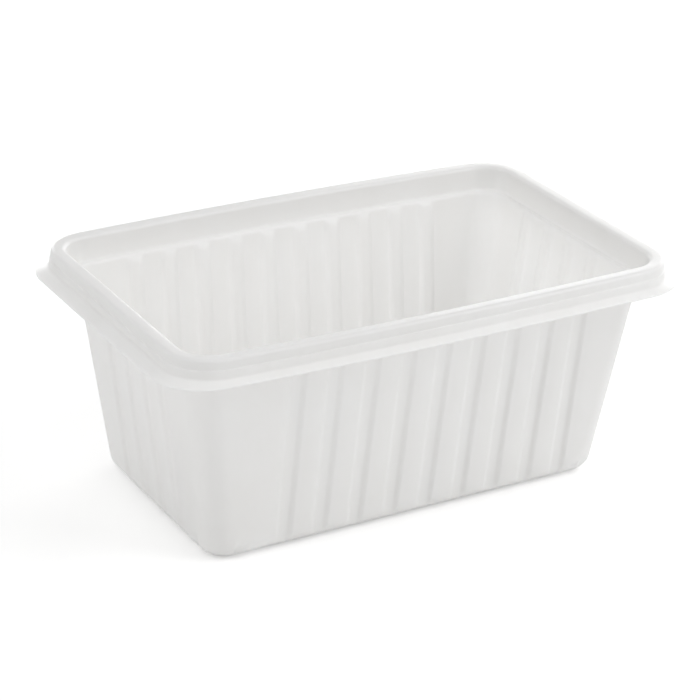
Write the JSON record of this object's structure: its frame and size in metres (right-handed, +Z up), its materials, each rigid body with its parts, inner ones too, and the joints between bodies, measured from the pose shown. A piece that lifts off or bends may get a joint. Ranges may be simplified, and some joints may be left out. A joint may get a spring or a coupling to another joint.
{
  "type": "disposable food container",
  "caption": "Open rectangular thin-walled plastic takeaway tub with upright flutes pressed into its leaning walls, a stacking ledge and a turned-down hollow rim ending in a flange.",
  "frame": {"origin": "on the floor, under the middle of the base and of the whole outline", "axes": "+Z up, +X along the long sides, +Y across, with the shown front at -Y"},
  "size_m": [0.191, 0.1182, 0.0787],
  "materials": {
    "plastic": "slightly translucent milky white plastic with a soft sheen"
  },
  "bodies": {
    "root": {"container": "plastic"}
  },
  "joints": []
}
